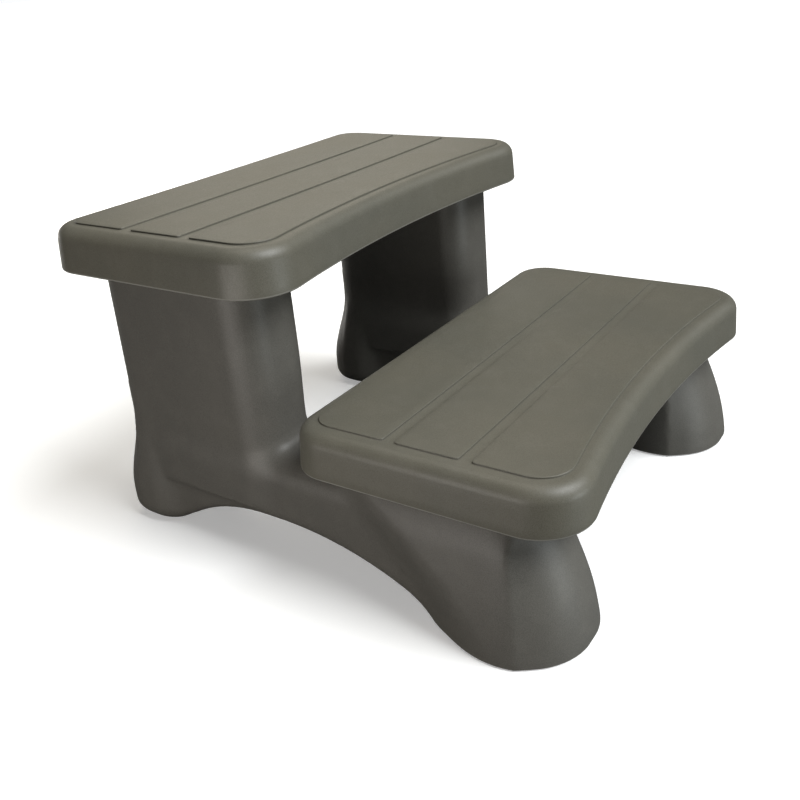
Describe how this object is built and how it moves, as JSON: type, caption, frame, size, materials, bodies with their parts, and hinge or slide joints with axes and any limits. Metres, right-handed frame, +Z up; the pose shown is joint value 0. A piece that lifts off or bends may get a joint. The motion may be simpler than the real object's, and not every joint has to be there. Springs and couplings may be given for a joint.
{
  "type": "spa steps",
  "caption": "Free-standing spa steps: bowed, padded moulded treads on a mirrored pair of hollow arched leg frames.",
  "frame": {"origin": "on the floor, at the middle of the footprint", "axes": "+Z up, +X along the treads to the right, +Y towards the tall rear step"},
  "size_m": [0.6656, 0.6908, 0.408],
  "materials": {
    "leg_plastic": "satin moulded polyethylene, warm taupe grey",
    "tread_plastic": "satin moulded polyethylene with fine grain, warm taupe grey",
    "insert_brass": "turned",
    "bolt_steel": "zinc plated",
    "washer_steel": "zinc plated",
    "pad_rubber": "matt moulded rubber",
    "plug_plastic": "satin"
  },
  "bodies": {
    "root": {"left_leg_frame": "leg_plastic", "right_leg_frame": "leg_plastic", "upper_tread": "tread_plastic", "lower_tread": "tread_plastic", "upper_tread_inserts": "insert_brass", "lower_tread_inserts": "insert_brass", "upper_tread_bolts": "bolt_steel", "lower_tread_bolts": "bolt_steel", "upper_tread_washers": "washer_steel", "lower_tread_washers": "washer_steel", "left_front_foot_pad": "pad_rubber", "right_front_foot_pad": "pad_rubber", "left_rear_foot_pad": "pad_rubber", "right_rear_foot_pad": "pad_rubber", "left_front_well_plug": "plug_plastic", "right_front_well_plug": "plug_plastic", "left_rear_well_plug": "plug_plastic", "right_rear_well_plug": "plug_plastic"}
  },
  "joints": []
}
